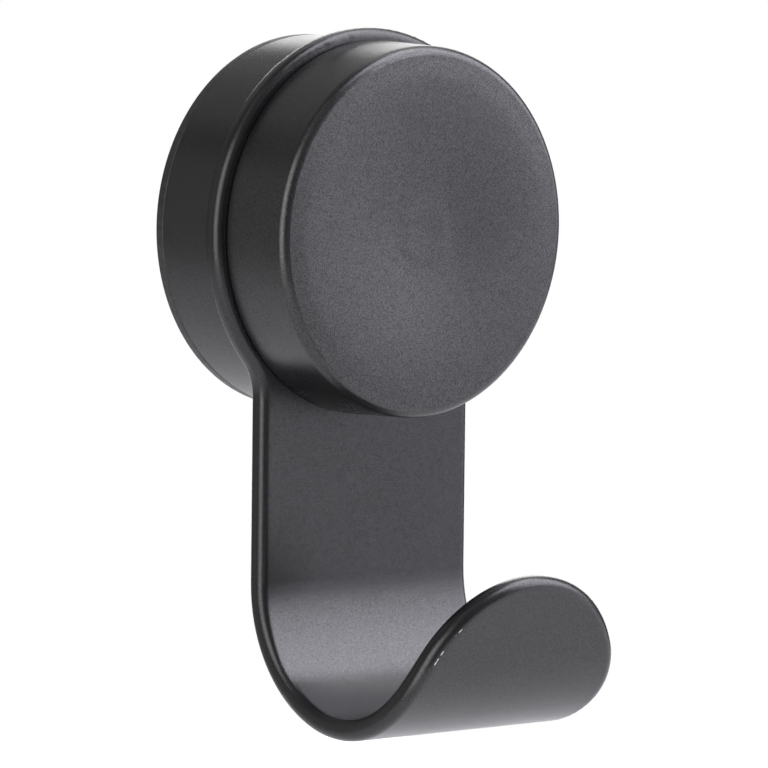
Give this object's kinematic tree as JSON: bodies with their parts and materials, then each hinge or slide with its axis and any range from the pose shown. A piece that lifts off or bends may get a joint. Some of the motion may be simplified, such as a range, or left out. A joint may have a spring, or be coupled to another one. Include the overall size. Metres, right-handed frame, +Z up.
{
  "type": "suction wall hook",
  "caption": "Round suction wall hook: a wide strap with a half-round upturned lip hangs below a round base, and a turned front knob draws the suction cup in.",
  "frame": {"origin": "middle of the suction cup's sealing face, on the wall", "axes": "+Y points into the wall, -Y out of it towards the user, +Z is up the wall, +X is to the right seen from the front"},
  "size_m": [0.0602, 0.0555, 0.105],
  "materials": {
    "cup_rubber": "smooth soft black",
    "stud_plastic": "moulded grey",
    "base_plastic": "satin black",
    "hook_plastic": "satin black, fine grain",
    "knob_plastic": "satin black, fine grain"
  },
  "bodies": {
    "base": {"base_bell": "base_plastic", "hook_strap": "hook_plastic", "suction_cup": "cup_rubber"},
    "knob": {"turn_knob": "knob_plastic"},
    "stud": {"draw_stud": "stud_plastic"}
  },
  "joints": [
    {"name": "knob_turn", "type": "hinge", "parent": "base", "child": "knob", "pos_m": [0, -0.0225, 0], "axis": [0, 1, 0], "range_deg": [0, 360]},
    {"name": "stud_draw", "type": "slide", "parent": "base", "child": "stud", "axis": [0, -1, 0], "range_m": [0, 0.0025], "deforming": ["suction_cup"]}
  ],
  "couplings": [
    {"joint": "stud_draw", "follows": "knob_turn", "m_per_rad": 0.00039788}
  ]
}
